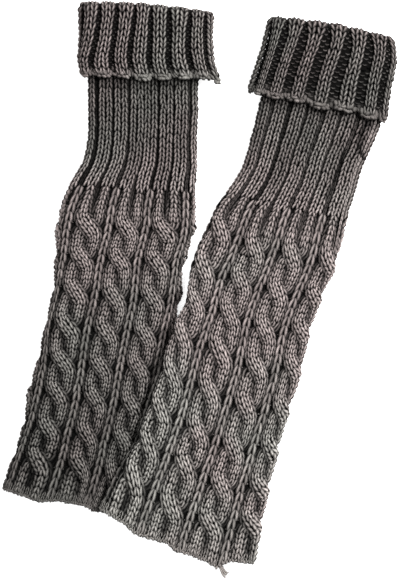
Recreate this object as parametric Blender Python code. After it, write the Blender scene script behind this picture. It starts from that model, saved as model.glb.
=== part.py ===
"""Pair of knitted leg warmers, laid flat, the right one lapped over the left one.

Each is a flattened tube: a turned-down rib cuff with its bound-off edge, a ribbed
upper part, a cable-knit leg and a cast-on hem. Plan sizes are in millimetres.
X runs across the pair, Y up towards the cuffs, and Z = 0 is the surface they lie on.
"""
import math
from collections import namedtuple

import bmesh
import bpy

MM = 0.001

# Thickness of each knit, and the air inside and between the pieces
CUFF_WALL = 4.4
EDGE_WALL = 5.2
RIB_WALL = 4.0
LEG_WALL = 4.7
HEM_WALL = 4.0
SLIT = 0.9
SEAM = 0.3
LAYER_GAP = 0.5

# Lengths down from the fold: its inner lip, where the tube starts, and the cuff's last rows
FOLD_LIP = 10.0
BIND_OFF = 5.0

# Lengths down the tube: the end of its ribs, the change of knit there, and the hem
RIB_END = 147.0
KNIT_CHANGE = 14.0
HEM_DEPTH = 7.0

# Wide ribs of the turned-down cuff
CUFF_RIBS = 16
GUTTER_DEPTH = 2.2
GUTTER_PLACES = (0.01, 0.26, 0.51)
GUTTER_SHARES = (0.0, 1.0, 0.0)

# The bound-off edge: its rounding at the end, and how its gutters fill up towards it
EDGE_ROUNDING = 0.8
EDGE_GUTTERS = (1.0, 0.7, 0.4)

# Past the cuff's edge the tube stays up a little way, then comes down to the surface
CUFF_CLEAR = 6.0
SETTLE = 30.0

# The lap of the right leg over the left one
LAP_START_Y = 36.4
LAP_FULL_Y = -7.6
LAP_REACH = 34.0
EDGE_RUN_ON = 40.0

# Points around a tube: across the front, round a side fold, across the back
FRONT_STEPS = 11
SIDE_STEPS = 4

# Points along a piece: between rings of a plain wall, of the cuff's flap and of its
# inside, over the fold, and along the fold of the left leg that the right leg crosses
RING_SPACING = 19.0
FLAP_SPACING = 12.0
FLAP_INSIDE_SPACING = 24.0
FOLD_STEPS = 4
LAP_EDGE_STEPS = 40

# A row of knitting: the middle between its ends, its laid width, its slope in degrees,
# and how far it bows down the tube between its ends
Section = namedtuple("Section", "mid_x mid_y width slope bow", defaults=(0.0,))

LEFT_CUFF = [
    Section(-41.1, 214.1, 105.8, -4.4, -3.0),
    Section(-41.5, 189.6, 104.5, -1.3),
    Section(-41.5, 172.4, 107.7, -1.2),
    Section(-38.2, 158.8, 110.4, -1.6),
]
LEFT_TUBE = [
    Section(-42.3, 181.8, 89.0, -1.5),
    Section(-43.7, 156.8, 83.9, -1.6),
    Section(-43.7, 133.4, 83.9, -1.6),
    Section(-44.4, 113.2, 83.2, -2.7),
    Section(-46.0, 93.7, 87.1, -2.6),
    Section(-51.1, 77.3, 94.9, -3.3),
    Section(-55.0, 59.7, 103.5, -2.6),
    Section(-57.5, 41.4, 107.0, -2.9),
    Section(-62.0, 17.4, 100.6, -2.5),
    Section(-65.1, -9.7, 99.8, -4.5),
    Section(-71.1, -37.0, 100.2, -6.2),
    Section(-77.0, -64.3, 98.1, -6.4),
    Section(-83.6, -91.2, 99.4, -8.6),
    Section(-87.9, -118.9, 100.5, -9.8),
    Section(-95.4, -144.6, 102.0, -11.4),
    Section(-105.3, -172.1, 100.7, -13.7),
]
RIGHT_CUFF = [
    Section(103.2, 198.4, 99.4, -9.8, -3.3),
    Section(101.6, 177.5, 106.4, -8.4),
    Section(97.3, 160.0, 107.9, -10.4),
    Section(92.3, 137.3, 112.6, -12.4),
]
RIGHT_TUBE = [
    Section(99.6, 161.5, 92.0, -10.4),
    Section(94.8, 134.5, 94.6, -10.2),
    Section(88.4, 113.6, 91.6, -11.8),
    Section(82.9, 98.0, 88.6, -12.2),
    Section(78.2, 82.0, 88.7, -12.7),
    Section(71.2, 66.4, 92.7, -12.1),
    Section(63.4, 50.0, 101.6, -12.9),
    Section(56.2, 28.1, 104.6, -17.5, 4.0),
    Section(44.9, 0.6, 103.8, -15.0, 5.0),
    Section(37.6, -26.5, 101.2, -15.6, 6.0),
    Section(29.1, -53.0, 107.4, -16.5, 8.0),
    Section(18.5, -85.0, 107.8, -17.3, 9.0),
    Section(9.8, -113.4, 110.1, -19.0, 10.0),
    Section(1.8, -141.7, 112.7, -20.9, 12.0),
    Section(-8.2, -169.0, 121.7, -20.1, 13.0),
    Section(-17.3, -196.5, 129.8, -19.3, 14.0),
]

# Whole thickness of the flattened tubes
RIB_DEPTH = 2 * RIB_WALL + SLIT
LEG_DEPTH = 2 * LEG_WALL + SLIT
CUFF_DEPTH = RIB_DEPTH + 2 * (CUFF_WALL + LAYER_GAP)
CUFF_LIFT = CUFF_WALL + LAYER_GAP
LAP_HEIGHT = LEG_DEPTH + LAYER_GAP


def ease(value):
    """Smooth step from 0 to 1."""
    value = min(max(value, 0.0), 1.0)
    return value * value * (3.0 - 2.0 * value)


class Sections:
    """Sections read smoothly at any distance along the tube."""

    def __init__(self, rows):
        self.rows = rows
        self.at = [0.0]
        for before, after in zip(rows, rows[1:]):
            run = math.hypot(after.mid_x - before.mid_x, after.mid_y - before.mid_y)
            self.at.append(self.at[-1] + run)
        self.length = self.at[-1]

    def slope_at(self, row, column):
        """Change of a column with distance at one row."""
        low = max(row - 1, 0)
        high = min(row + 1, len(self.rows) - 1)
        rise = self.rows[high][column] - self.rows[low][column]
        return rise / (self.at[high] - self.at[low])

    def read(self, along):
        """Section at a distance along, on a smooth curve through the rows."""
        along = min(max(along, 0.0), self.length)
        row = 0
        while row < len(self.rows) - 2 and along > self.at[row + 1]:
            row += 1
        run = self.at[row + 1] - self.at[row]
        t = (along - self.at[row]) / run
        start_share = 2 * t**3 - 3 * t**2 + 1
        end_share = 3 * t**2 - 2 * t**3
        start_pull = (t**3 - 2 * t**2 + t) * run
        end_pull = (t**3 - t**2) * run
        values = []
        for column in range(len(Section._fields)):
            value = start_share * self.rows[row][column]
            value += end_share * self.rows[row + 1][column]
            value += start_pull * self.slope_at(row, column)
            value += end_pull * self.slope_at(row + 1, column)
            values.append(value)
        return Section(*values)


def stadium_length(width, depth):
    """Distance once round a flattened tube."""
    return 2 * (width - depth) + math.pi * depth


def stadium_point(width, depth, travel, inset):
    """Across and up at a distance round a flattened tube, from the middle of its left fold."""
    radius = depth / 2
    flat = width - depth
    quarter = math.pi * radius / 2
    travel = travel % stadium_length(width, depth)
    reach = radius - inset
    if travel < quarter:
        turn = math.pi - travel / radius
        return -flat / 2 + reach * math.cos(turn), reach * math.sin(turn)
    travel -= quarter
    if travel < flat:
        return -flat / 2 + travel, reach
    travel -= flat
    if travel < 2 * quarter:
        turn = math.pi / 2 - travel / radius
        return flat / 2 + reach * math.cos(turn), reach * math.sin(turn)
    travel -= 2 * quarter
    if travel < flat:
        return flat / 2 - travel, -reach
    travel -= flat
    turn = -math.pi / 2 - travel / radius
    return -flat / 2 + reach * math.cos(turn), reach * math.sin(turn)


def place_on_row(section, across):
    """Plan place of a point of a row, across from its middle."""
    turn = math.radians(section.slope)
    sag = section.bow * (1.0 - (2.0 * across / section.width)**2)
    x = section.mid_x + across * math.cos(turn) + sag * math.sin(turn)
    y = section.mid_y + across * math.sin(turn) - sag * math.cos(turn)
    return x, y


def plain_marks(width, depth):
    """Distances round a tube for a plain ring, closer together at the side folds."""
    quarter = math.pi * depth / 4
    flat = width - depth
    marks = []
    for step in range(FRONT_STEPS):
        marks.append(quarter + flat * step / FRONT_STEPS)
    for step in range(SIDE_STEPS):
        marks.append(quarter + flat + 2 * quarter * step / SIDE_STEPS)
    for step in range(FRONT_STEPS):
        marks.append(3 * quarter + flat + flat * step / FRONT_STEPS)
    for step in range(SIDE_STEPS):
        marks.append(3 * quarter + 2 * flat + 2 * quarter * step / SIDE_STEPS)
    return marks


def rib_marks(width, depth):
    """Distances round the cuff: the two sides of each rib and the gutter after it."""
    pitch = stadium_length(width, depth) / CUFF_RIBS
    return [pitch * (rib + place) for rib in range(CUFF_RIBS) for place in GUTTER_PLACES]


class LeftEdgeLap:
    """How far the right leg is lifted where it crosses the left leg's right-hand fold."""

    def __init__(self, sections):
        self.points = []
        for step in range(LAP_EDGE_STEPS + 1):
            section = sections.read(sections.length * step / LAP_EDGE_STEPS)
            self.points.append(place_on_row(section, section.width / 2))
        last, before = self.points[-1], self.points[-4]
        run = math.hypot(last[0] - before[0], last[1] - before[1])
        self.points.append((last[0] + (last[0] - before[0]) / run * EDGE_RUN_ON,
                            last[1] + (last[1] - before[1]) / run * EDGE_RUN_ON))

    def inside(self, x, y):
        """Signed distance to the fold, positive over the left leg."""
        best = None
        for start, end in zip(self.points, self.points[1:]):
            run_x, run_y = end[0] - start[0], end[1] - start[1]
            square = run_x**2 + run_y**2
            share = ((x - start[0]) * run_x + (y - start[1]) * run_y) / square
            share = min(max(share, 0.0), 1.0)
            off_x = x - start[0] - share * run_x
            off_y = y - start[1] - share * run_y
            gap = math.hypot(off_x, off_y)
            if best is None or gap < abs(best):
                side = run_x * off_y - run_y * off_x
                best = math.copysign(gap, -side)
        return best

    def lift(self, x, y):
        """Height of the lapping leg's underside above the surface."""
        along = ease((LAP_START_Y - y) / (LAP_START_Y - LAP_FULL_Y))
        across = ease((self.inside(x, y) + LAP_REACH) / LAP_REACH)
        return LAP_HEIGHT * along * across


def knit_tube(name, sections, loop, marks, base, lap, material):
    """Closed wall swept round the tube.

    loop gives the wall's lengthwise section as (distance along, depth, inset, rib share).
    """
    mesh = bmesh.new()
    rings = []
    for along, depth, inset, rib_share in loop:
        section = sections.read(along)
        ring = []
        for number, travel in enumerate(marks(section.width, depth)):
            sunk = inset + rib_share * GUTTER_DEPTH * GUTTER_SHARES[number % len(GUTTER_SHARES)]
            across, up = stadium_point(section.width, depth, travel, sunk)
            x, y = place_on_row(section, across)
            z = depth / 2 + up + base(along)
            if lap is not None:
                z += lap.lift(x, y)
            ring.append(mesh.verts.new((x * MM, y * MM, z * MM)))
        rings.append(ring)
    around = len(rings[0])
    for number, ring in enumerate(rings):
        following = rings[(number + 1) % len(rings)]
        for place in range(around):
            beside = (place + 1) % around
            mesh.faces.new((ring[place], following[place], following[beside], ring[beside]))
    bmesh.ops.recalc_face_normals(mesh, faces=mesh.faces)
    bmesh.ops.triangulate(mesh, faces=mesh.faces)
    data = bpy.data.meshes.new(name)
    mesh.to_mesh(data)
    mesh.free()
    data.materials.append(material)
    piece = bpy.data.objects.new(name, data)
    bpy.context.collection.objects.link(piece)
    return piece


def steps_between(start, end, spacing):
    """Evenly spaced distances from start to end, both included."""
    count = max(int(round((end - start) / spacing)), 1)
    return [start + (end - start) * step / count for step in range(count + 1)]


def wall_loop(start, end, depth, wall):
    """Lengthwise section of a plain wall: down the outside and back up the inside."""
    places = steps_between(start, end, RING_SPACING)
    outside = [(along, depth(along), 0.0, 0.0) for along in places]
    inside = [(along, depth(along), wall(along), 0.0) for along in reversed(places)]
    return outside + inside


def cuff_loop(length):
    """Lengthwise section of the cuff: the flap, the rolled fold and its inner lip."""
    flap_end = length - BIND_OFF
    roll = (CUFF_WALL + LAYER_GAP + RIB_WALL) / 2
    loop = [(along, CUFF_DEPTH, 0.0, 1.0) for along in steps_between(roll, flap_end, FLAP_SPACING)]
    loop.reverse()
    for step in range(1, FOLD_STEPS):
        turn = math.pi * step / FOLD_STEPS
        loop.append((roll - roll * math.sin(turn), CUFF_DEPTH, roll - roll * math.cos(turn), 0.0))
    loop.append((roll, CUFF_DEPTH, 2 * roll, 0.0))
    loop.append((FOLD_LIP, CUFF_DEPTH, 2 * roll, 0.0))
    loop.append((FOLD_LIP, CUFF_DEPTH, CUFF_WALL, 0.0))
    for along in steps_between(FOLD_LIP, flap_end, FLAP_INSIDE_SPACING)[1:]:
        loop.append((along, CUFF_DEPTH, CUFF_WALL, 0.0))
    return loop


def edge_loop(length):
    """Lengthwise section of the bound-off edge, a rounded cord of stitches."""
    start, end = length - BIND_OFF + SEAM, length
    swell = EDGE_WALL - CUFF_WALL
    middle = (start + end) / 2
    return [
        (start, CUFF_DEPTH, 0.0, EDGE_GUTTERS[0]),
        (middle, CUFF_DEPTH + 2 * swell, 0.0, EDGE_GUTTERS[1]),
        (end, CUFF_DEPTH, EDGE_ROUNDING, EDGE_GUTTERS[2]),
        (end, CUFF_DEPTH, CUFF_WALL, 0.0),
        (start, CUFF_DEPTH, CUFF_WALL, 0.0),
    ]


def yarn_material(name, color, roughness):
    """Matt wool."""
    material = bpy.data.materials.new(name)
    material.use_nodes = True
    shader = material.node_tree.nodes["Principled BSDF"]
    shader.inputs["Base Color"].default_value = (*color, 1.0)
    shader.inputs["Roughness"].default_value = roughness
    shader.inputs["Metallic"].default_value = 0.0
    return material


def tube_depth(along):
    """Whole thickness of the tube: rib knit, then the thicker cable knit."""
    return RIB_DEPTH + (LEG_DEPTH - RIB_DEPTH) * ease((along - RIB_END) / KNIT_CHANGE + 0.5)


def tube_wall(along):
    """Thickness of one wall of the tube."""
    return (tube_depth(along) - SLIT) / 2


def tube_top(cuff):
    """Section of the tube where it meets the cuff's inner lip."""
    lip = cuff.read(FOLD_LIP)
    return lip._replace(width=lip.width - 2 * CUFF_LIFT)


def leg_warmer(side, cuff_rows, tube_rows, lap):
    """One leg warmer in five knitted pieces."""
    cuff = Sections(cuff_rows)
    tube = Sections([tube_top(cuff)] + tube_rows)
    hem_start = tube.length - HEM_DEPTH
    flat = lambda along: 0.0

    def settled(along):
        return CUFF_LIFT * (1.0 - ease((along + FOLD_LIP - cuff.length - CUFF_CLEAR) / SETTLE))

    knit_tube(side + "_cuff", cuff, cuff_loop(cuff.length), rib_marks, flat, None,
              yarn_material(side + "_cuff_yarn", (0.20, 0.185, 0.175), 0.9))
    knit_tube(side + "_cuff_edge", cuff, edge_loop(cuff.length), rib_marks, flat, None,
              yarn_material(side + "_cuff_edge_yarn", (0.22, 0.205, 0.195), 0.9))
    knit_tube(side + "_rib", tube,
              wall_loop(SEAM, RIB_END, tube_depth, tube_wall),
              plain_marks, settled, lap,
              yarn_material(side + "_rib_yarn", (0.18, 0.165, 0.16), 0.9))
    knit_tube(side + "_leg", tube,
              wall_loop(RIB_END + SEAM, hem_start, tube_depth, tube_wall),
              plain_marks, settled, lap,
              yarn_material(side + "_leg_yarn", (0.20, 0.185, 0.18), 0.9))
    knit_tube(side + "_hem", tube,
              wall_loop(hem_start + SEAM, tube.length, tube_depth, lambda along: HEM_WALL),
              plain_marks, settled, lap,
              yarn_material(side + "_hem_yarn", (0.22, 0.21, 0.20), 0.9))


for leftover in list(bpy.data.objects):
    bpy.data.objects.remove(leftover, do_unlink=True)

leg_warmer("left", LEFT_CUFF, LEFT_TUBE, None)
leg_warmer("right", RIGHT_CUFF, RIGHT_TUBE, LeftEdgeLap(Sections(LEFT_TUBE)))
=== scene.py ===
"""Pair of cable-knit leg warmers, laid flat, with every stitch knitted onto the CAD tubes.

The camera looks straight down, as the photograph does. Lengths are in millimetres and
turned into metres when a mesh is made. A "share" is how far round a flattened tube a point
lies, from 0 at the middle of its left fold, over the front, to 1. "along" is the distance
down the tube, and "down" the distance down the cuff's flap.
"""

import math
from collections import namedtuple

import bpy
import numpy as np
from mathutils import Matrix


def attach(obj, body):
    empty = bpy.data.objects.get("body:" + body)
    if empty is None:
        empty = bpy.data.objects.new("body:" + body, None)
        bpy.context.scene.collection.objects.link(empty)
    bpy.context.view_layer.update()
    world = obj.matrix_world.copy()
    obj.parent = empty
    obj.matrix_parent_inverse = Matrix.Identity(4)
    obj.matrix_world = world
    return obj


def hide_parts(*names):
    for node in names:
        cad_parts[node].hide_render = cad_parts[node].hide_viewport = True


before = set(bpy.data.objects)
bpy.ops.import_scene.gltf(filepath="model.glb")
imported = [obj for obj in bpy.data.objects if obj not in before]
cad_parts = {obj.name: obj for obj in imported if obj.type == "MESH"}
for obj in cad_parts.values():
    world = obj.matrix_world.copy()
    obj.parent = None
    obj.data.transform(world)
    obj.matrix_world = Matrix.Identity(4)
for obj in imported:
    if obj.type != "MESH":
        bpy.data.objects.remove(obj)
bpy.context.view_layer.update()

MM = 0.001
DRAW = np.random.default_rng(1688)

# The photograph: its frame in pixels, and where its pixels lie in the CAD frame
PHOTO_SIZE = (400, 579)
PIXEL = 0.78
PHOTO_ORIGIN = (200.0, 284.5)
FRAME_ORIGIN = (0.61, -1.50)

# Sizes and rows of part.py. A section is the middle of a row, its width laid flat, its slope
# in degrees and how far its middle bows down the tube
CUFF_WALL = 4.4
RIB_WALL = 4.0
LEG_WALL = 4.7
SLIT = 0.9
LAYER_GAP = 0.5
FOLD_LIP = 10.0
RIB_END = 147.0
KNIT_CHANGE = 14.0
CUFF_RIBS = 16
CUFF_CLEAR = 6.0
SETTLE = 30.0
LAP_START_Y = 36.4
LAP_FULL_Y = -7.6
LAP_REACH = 34.0
EDGE_RUN_ON = 40.0
LAP_EDGE_STEPS = 40
RIB_DEPTH = 2 * RIB_WALL + SLIT
LEG_DEPTH = 2 * LEG_WALL + SLIT
CUFF_DEPTH = RIB_DEPTH + 2 * (CUFF_WALL + LAYER_GAP)
CUFF_LIFT = CUFF_WALL + LAYER_GAP
LAP_HEIGHT = LEG_DEPTH + LAYER_GAP
ROLL = (CUFF_WALL + LAYER_GAP + RIB_WALL) / 2

Section = namedtuple("Section", "mid_x mid_y width slope bow", defaults=(0.0,))

LEFT_CUFF = [
    Section(-41.1, 214.1, 105.8, -4.4, -3.0),
    Section(-41.5, 189.6, 104.5, -1.3),
    Section(-41.5, 172.4, 107.7, -1.2),
    Section(-38.2, 158.8, 110.4, -1.6),
]
LEFT_TUBE = [
    Section(-42.3, 181.8, 89.0, -1.5),
    Section(-43.7, 156.8, 83.9, -1.6),
    Section(-43.7, 133.4, 83.9, -1.6),
    Section(-44.4, 113.2, 83.2, -2.7),
    Section(-46.0, 93.7, 87.1, -2.6),
    Section(-51.1, 77.3, 94.9, -3.3),
    Section(-55.0, 59.7, 103.5, -2.6),
    Section(-57.5, 41.4, 107.0, -2.9),
    Section(-62.0, 17.4, 100.6, -2.5),
    Section(-65.1, -9.7, 99.8, -4.5),
    Section(-71.1, -37.0, 100.2, -6.2),
    Section(-77.0, -64.3, 98.1, -6.4),
    Section(-83.6, -91.2, 99.4, -8.6),
    Section(-87.9, -118.9, 100.5, -9.8),
    Section(-95.4, -144.6, 102.0, -11.4),
    Section(-105.3, -172.1, 100.7, -13.7),
]
RIGHT_CUFF = [
    Section(103.2, 198.4, 99.4, -9.8, -3.3),
    Section(101.6, 177.5, 106.4, -8.4),
    Section(97.3, 160.0, 107.9, -10.4),
    Section(92.3, 137.3, 112.6, -12.4),
]
RIGHT_TUBE = [
    Section(99.6, 161.5, 92.0, -10.4),
    Section(94.8, 134.5, 94.6, -10.2),
    Section(88.4, 113.6, 91.6, -11.8),
    Section(82.9, 98.0, 88.6, -12.2),
    Section(78.2, 82.0, 88.7, -12.7),
    Section(71.2, 66.4, 92.7, -12.1),
    Section(63.4, 50.0, 101.6, -12.9),
    Section(56.2, 28.1, 104.6, -17.5, 4.0),
    Section(44.9, 0.6, 103.8, -15.0, 5.0),
    Section(37.6, -26.5, 101.2, -15.6, 6.0),
    Section(29.1, -53.0, 107.4, -16.5, 8.0),
    Section(18.5, -85.0, 107.8, -17.3, 9.0),
    Section(9.8, -113.4, 110.1, -19.0, 10.0),
    Section(1.8, -141.7, 112.7, -20.9, 12.0),
    Section(-8.2, -169.0, 121.7, -20.1, 13.0),
    Section(-17.3, -196.5, 129.8, -19.3, 14.0),
]

# Where each cable crosses itself in the photograph, in its pixels, one list for a cable
LEFT_CROSSINGS = [
    [(89, 227), (82, 258.6), (74.7, 291.5), (65.8, 325.7),
     (62, 361), (56.8, 393.8), (47.8, 427.6), (37, 459.5)],
    [(127.5, 229.8), (119, 260), (115, 298.3), (108.3, 334),
     (101, 367), (95.7, 399.5), (88, 435.9), (82.9, 468.4)],
    [(163, 231), (156.3, 262.7), (152, 298.3), (144, 334),
     (138, 368), (131.4, 405.3), (122, 438), (112, 473)],
]
RIGHT_CROSSINGS = [
    [(221.2, 231), (204.6, 268), (195.7, 302.4), (181.7, 334.3),
     (172.2, 375.4), (161, 409.7), (148.3, 444), (134.7, 479)],
    [(254.4, 249.5), (241, 282), (229.5, 315.2), (220, 352.3),
     (208.9, 391.4), (197.7, 432), (185.7, 467), (171.4, 507)],
    [(291.4, 256.5), (277.3, 292.2), (264, 329.2), (258.3, 369),
     (247, 408), (234.4, 448.8), (221.6, 487), (210.4, 523.7)],
    [(329.6, 264.2), (315.6, 297.3), (302.9, 331.8), (293.4, 368.3),
     (282.2, 409.7), (271, 448.8), (261.5, 487.8), (253.5, 523.7)],
]

# Where the gutters between the front ribs of each cuff lie in the photograph, in its pixels:
# near the fold, halfway down the flap and near its edge
LEFT_GUTTERS = [
    [(100, 15), (96, 41), (91, 63)],
    [(117, 17), (114, 42), (112, 64)],
    [(135, 19), (131, 42), (130, 65)],
    [(151, 20), (150, 43), (150, 65)],
    [(169, 21), (169, 43), (169, 65)],
    [(190, 22), (188, 44), (191, 66)],
    [(206, 23), (206, 44), (209, 67)],
]
RIGHT_GUTTERS = [
    [(269, 27), (265, 49), (259, 69)],
    [(285, 30), (278, 51), (271, 72)],
    [(304, 33), (297, 55), (290, 76)],
    [(327, 37), (319, 59), (312, 81)],
    [(348, 40), (342, 63), (335, 86)],
    [(369, 44), (366, 67), (361, 92)],
    [(389, 47), (386, 71), (381, 96)],
]

# The knitting's counts. A leg's rows are counted from ROWS_TO_FIRST above its first crossing,
# and the cables' tables have SPARE_ROWS more at both ends
CABLES = 7
CROSSINGS = 8
ROWS_PER_CROSSING = 8
ROWS_TO_FIRST = 6
FIRST_CABLE_ROW = -3
LAST_ROW = ROWS_TO_FIRST + ROWS_PER_CROSSING * CROSSINGS
SPARE_ROWS = 6
CABLE_PITCH = 3.6
FIRST_CROSSED_SECTION = 8
HEM_OVERRUN = 2.0

# Where the upper rib's stitches begin, under the flap, and the height of its rows
RIB_TOP = 40.0
RIB_PITCH = 3.7

# Widths across a cable and what lies between cables
SLIP_WIDTH = 6.2
GUTTER_WIDTH = -0.25

# Brightness of the wool at the top and the bottom of each leg: its tone with painted light and shade,
# darkest at the left leg's bottom
LEG_TONE_AND_LIGHT = {"left": (0.86, 0.53), "right": (0.93, 1.06)}

# How strongly the ropes' painted shade acts there, and the brightness of the gutters beside them, which
# is painted shade
LEG_SHADE = {"left": (1.2, 2.0), "right": (1.1, 1.1)}
GUTTER_SHADE = {"left": (0.18, 0.14), "right": (0.22, 0.40)}

# How much the front and the side folds stand prouder than the CAD face, the right leg's
# extra lift, and the lowest that yarn comes to the floor
LOFT = 1.0
EDGE_LOFT = 1.5
LAP_EXTRA = 0.9
LOWEST = 0.05

# How far the right leg swells to the left above its lap, and where
SWELL = 1.8
SWELL_Y = 6.0
SWELL_REACH = 28.0

# How far up the leg its hem's uneven line is felt, and how a pixel's place on it is looked up
HEM_LINE_REACH = 30.0
FRONT_MIDDLE = 0.25
SEARCH_BEYOND = 24.0
SEARCH_STEP = 0.5

# The camera, straight above the middle of the photograph's frame
CAMERA_HEIGHT = 2000.0
FOCUS_HEIGHT = 7.0
SENSOR = 36.0


def frame_point(pixel):
    """CAD place of a pixel of the photograph."""
    x = (pixel[0] - PHOTO_ORIGIN[0]) * PIXEL + FRAME_ORIGIN[0]
    y = (PHOTO_ORIGIN[1] - pixel[1]) * PIXEL + FRAME_ORIGIN[1]
    return x, y


def make_camera():
    """Camera whose frame at the object's height is the photograph's."""
    data = bpy.data.cameras.new("camera")
    data.sensor_fit = "VERTICAL"
    data.sensor_height = SENSOR
    data.lens = SENSOR * CAMERA_HEIGHT / (PHOTO_SIZE[1] * PIXEL)
    data.clip_end = 20.0
    camera = bpy.data.objects.new("camera", data)
    x, y = frame_point((PHOTO_SIZE[0] / 2, PHOTO_SIZE[1] / 2))
    camera.location = (x * MM, y * MM, (CAMERA_HEIGHT + FOCUS_HEIGHT) * MM)
    bpy.context.collection.objects.link(camera)
    bpy.context.scene.camera = camera


make_camera()


def ease(value):
    """Smooth step from 0 to 1."""
    value = np.clip(value, 0.0, 1.0)
    return value * value * (3.0 - 2.0 * value)


class Curve:
    """Smooth curve through rows of values, straight beyond its ends."""

    def __init__(self, at, rows):
        self.at = np.asarray(at, float)
        self.rows = np.asarray(rows, float)
        low = np.maximum(np.arange(len(self.at)) - 1, 0)
        high = np.minimum(np.arange(len(self.at)) + 1, len(self.at) - 1)
        self.slopes = (self.rows[high] - self.rows[low]) / (self.at[high] - self.at[low])[:, None]
        self.length = self.at[-1]

    def read(self, along):
        """Values at a distance, one column each."""
        along = np.asarray(along, float)
        inside = np.clip(along, self.at[0], self.at[-1])
        row = np.clip(np.searchsorted(self.at, inside, side="right") - 1, 0, len(self.at) - 2)
        run = self.at[row + 1] - self.at[row]
        t = (inside - self.at[row]) / run
        t, run = t[..., None], run[..., None]
        values = (2 * t**3 - 3 * t**2 + 1) * self.rows[row] + (3 * t**2 - 2 * t**3) * self.rows[row + 1]
        values = values + (t**3 - 2 * t**2 + t) * run * self.slopes[row]
        values = values + (t**3 - t**2) * run * self.slopes[row + 1]
        beyond = along - inside
        end = np.where(beyond > 0, len(self.at) - 1, 0)
        return values + beyond[..., None] * self.slopes[end]


def sections(rows):
    """Sections along a tube, by the distance between their middles."""
    rows = np.asarray(rows, float)
    runs = np.hypot(np.diff(rows[:, 0]), np.diff(rows[:, 1]))
    return Curve(np.concatenate([[0.0], np.cumsum(runs)]), rows)


def row_point(section, across):
    """Plan place of a point of a row, across from its middle."""
    mid_x, mid_y, width, slope, bow = np.moveaxis(section, -1, 0)
    turn = np.radians(slope)
    sag = bow * (1.0 - (2.0 * across / width)**2)
    return (mid_x + across * np.cos(turn) + sag * np.sin(turn),
            mid_y + across * np.sin(turn) - sag * np.cos(turn))


def stadium_length(width, depth):
    """Distance once round a flattened tube."""
    return 2 * (width - depth) + math.pi * depth


def stadium_point(width, depth, share, height):
    """Across, up and how far a point faces up, at a share of the way round a flattened tube."""
    radius = depth / 2
    flat = width - depth
    quarter = math.pi * radius / 2
    travel = (share % 1.0) * stadium_length(width, depth)
    reach = radius + height
    first = travel < quarter
    front = ~first & (travel < quarter + flat)
    right = ~first & ~front & (travel < 3 * quarter + flat)
    back = ~first & ~front & ~right & (travel < 3 * quarter + 2 * flat)
    left = ~(first | front | right | back)
    turn = np.where(first, math.pi - travel / radius, 0.0)
    turn = np.where(right, math.pi / 2 - (travel - quarter - flat) / radius, turn)
    turn = np.where(left, -math.pi / 2 - (travel - 3 * quarter - 2 * flat) / radius, turn)
    turn = np.where(front, math.pi / 2, turn)
    turn = np.where(back, -math.pi / 2, turn)
    middle = np.where(first | left, -flat / 2, 0.0)
    middle = np.where(right, flat / 2, middle)
    middle = np.where(front, travel - quarter - flat / 2, middle)
    middle = np.where(back, flat / 2 - (travel - 3 * quarter - flat), middle)
    across = middle + np.where(front | back, 0.0, np.cos(turn)) * reach
    return across, np.sin(turn) * reach, np.sin(turn)


class LeftEdgeLap:
    """How far the right leg is lifted where it crosses the left leg's right-hand fold."""

    def __init__(self, tube):
        section = tube.read(np.linspace(0.0, tube.length, LAP_EDGE_STEPS + 1))
        x, y = row_point(section, section[..., 2] / 2)
        points = np.stack([x, y], 1)
        run = points[-1] - points[-4]
        self.points = np.vstack([points, points[-1] + run / np.linalg.norm(run) * EDGE_RUN_ON])

    def inside(self, x, y):
        """Signed distance to the fold, positive over the left leg."""
        best = np.full(np.shape(x), np.inf)
        signed = np.zeros(np.shape(x))
        for start, end in zip(self.points, self.points[1:]):
            run = end - start
            share = np.clip(((x - start[0]) * run[0] + (y - start[1]) * run[1]) / (run @ run), 0, 1)
            off_x, off_y = x - start[0] - share * run[0], y - start[1] - share * run[1]
            gap = np.hypot(off_x, off_y)
            nearer = gap < best
            best = np.where(nearer, gap, best)
            signed = np.where(nearer, -np.sign(run[0] * off_y - run[1] * off_x) * gap, signed)
        return signed

    def lift(self, x, y):
        """Height of the lapping leg's underside above the surface."""
        along = ease((LAP_START_Y - y) / (LAP_START_Y - LAP_FULL_Y))
        across = ease((self.inside(x, y) + LAP_REACH) / LAP_REACH)
        return (LAP_HEIGHT + LAP_EXTRA) * along * across


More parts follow.
